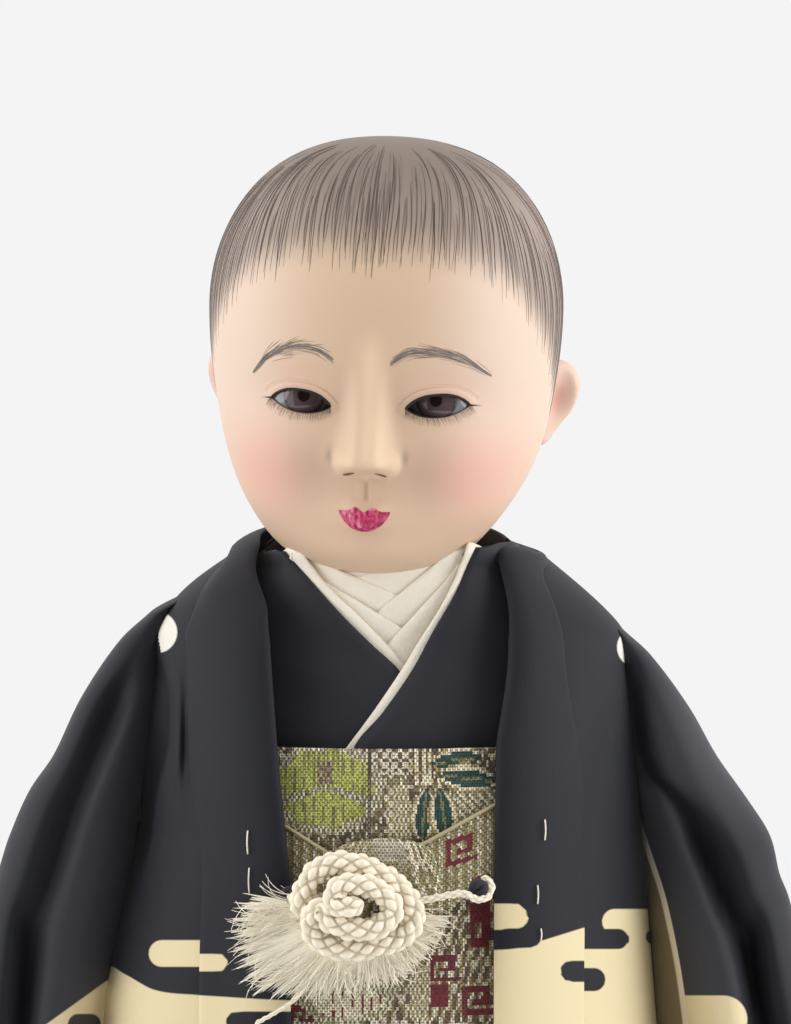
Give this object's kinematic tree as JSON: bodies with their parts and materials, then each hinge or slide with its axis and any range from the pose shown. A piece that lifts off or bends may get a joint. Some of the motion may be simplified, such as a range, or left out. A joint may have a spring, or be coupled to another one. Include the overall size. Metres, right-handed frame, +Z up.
{
  "type": "ichimatsu doll",
  "caption": "Standing Japanese play doll of a boy in black crested haori, kimono and brocade hakama, with turning head and swinging stuffed limbs.",
  "frame": {"origin": "on the floor under the middle of the doll's bounding box", "axes": "+Z up, the doll faces -Y, its own left is +X"},
  "size_m": [0.1814, 0.1027, 0.4052],
  "materials": {
    "gofun_composition": "matte shell-white paint over sawdust composition",
    "eye_glass": "polished glass",
    "peg_wood": "plain turned wood",
    "bare_composition": "bare sawdust composition",
    "stuffed_muslin": "plain cotton, stuffed",
    "cream_crepe": "crinkled silk crepe",
    "black_silk": "soft black silk with a cream cloud pattern",
    "gold_brocade": "gold and silver brocade weave",
    "white_cotton": "white cotton",
    "cord_silk": "braided silk cord"
  },
  "bodies": {
    "torso": {"shoulder_plate": "bare_composition", "midriff": "stuffed_muslin", "pelvis": "bare_composition", "juban_collar_inner": "cream_crepe", "juban_collar_middle": "cream_crepe", "juban_collar_outer": "cream_crepe", "date_collar": "cream_crepe", "kimono_left_front": "black_silk", "kimono_right_front": "black_silk", "kimono_back": "black_silk", "hakama_front": "gold_brocade", "hakama_back": "gold_brocade", "hakama_left_tie": "gold_brocade", "hakama_right_tie": "gold_brocade", "hakama_back_board": "gold_brocade", "haori_left_front": "black_silk", "haori_right_front": "black_silk", "haori_back": "black_silk", "haori_band": "black_silk", "left_cord_loop": "cord_silk", "right_cord_loop": "cord_silk", "left_cord": "cord_silk", "right_cord": "cord_silk", "cord_rosette": "cord_silk", "cord_tassel": "cord_silk"},
    "head": {"head": "gofun_composition", "left_eye": "eye_glass", "right_eye": "eye_glass", "neck_peg": "peg_wood"},
    "left_arm": {"left_upper_arm": "stuffed_muslin", "left_forearm": "gofun_composition", "left_haori_sleeve": "black_silk", "left_kimono_sleeve": "cream_crepe"},
    "left_leg": {"left_thigh": "stuffed_muslin", "left_lower_leg": "gofun_composition", "left_tabi": "white_cotton"},
    "right_arm": {"right_upper_arm": "stuffed_muslin", "right_forearm": "gofun_composition", "right_haori_sleeve": "black_silk", "right_kimono_sleeve": "cream_crepe"},
    "right_leg": {"right_thigh": "stuffed_muslin", "right_lower_leg": "gofun_composition", "right_tabi": "white_cotton"}
  },
  "joints": [
    {"name": "head_turn", "type": "hinge", "parent": "torso", "child": "head", "pos_m": [0, 0, 0.3], "axis": [0, 0, 1], "range_deg": [-12, 20]},
    {"name": "left_arm_swing", "type": "hinge", "parent": "torso", "child": "left_arm", "pos_m": [0.036, 0, 0.284], "axis": [-0.9962, 0, -0.0865], "range_deg": [-15, 60]},
    {"name": "right_arm_swing", "type": "hinge", "parent": "torso", "child": "right_arm", "pos_m": [-0.036, 0, 0.284], "axis": [-0.9962, 0, 0.0865], "range_deg": [-15, 60]},
    {"name": "left_hip_swing", "type": "hinge", "parent": "torso", "child": "left_leg", "pos_m": [0.0165, 0, 0.164], "axis": [-1, 0, 0], "range_deg": [-6, 6]},
    {"name": "right_hip_swing", "type": "hinge", "parent": "torso", "child": "right_leg", "pos_m": [-0.0165, 0, 0.164], "axis": [-1, 0, 0], "range_deg": [-6, 6]}
  ]
}
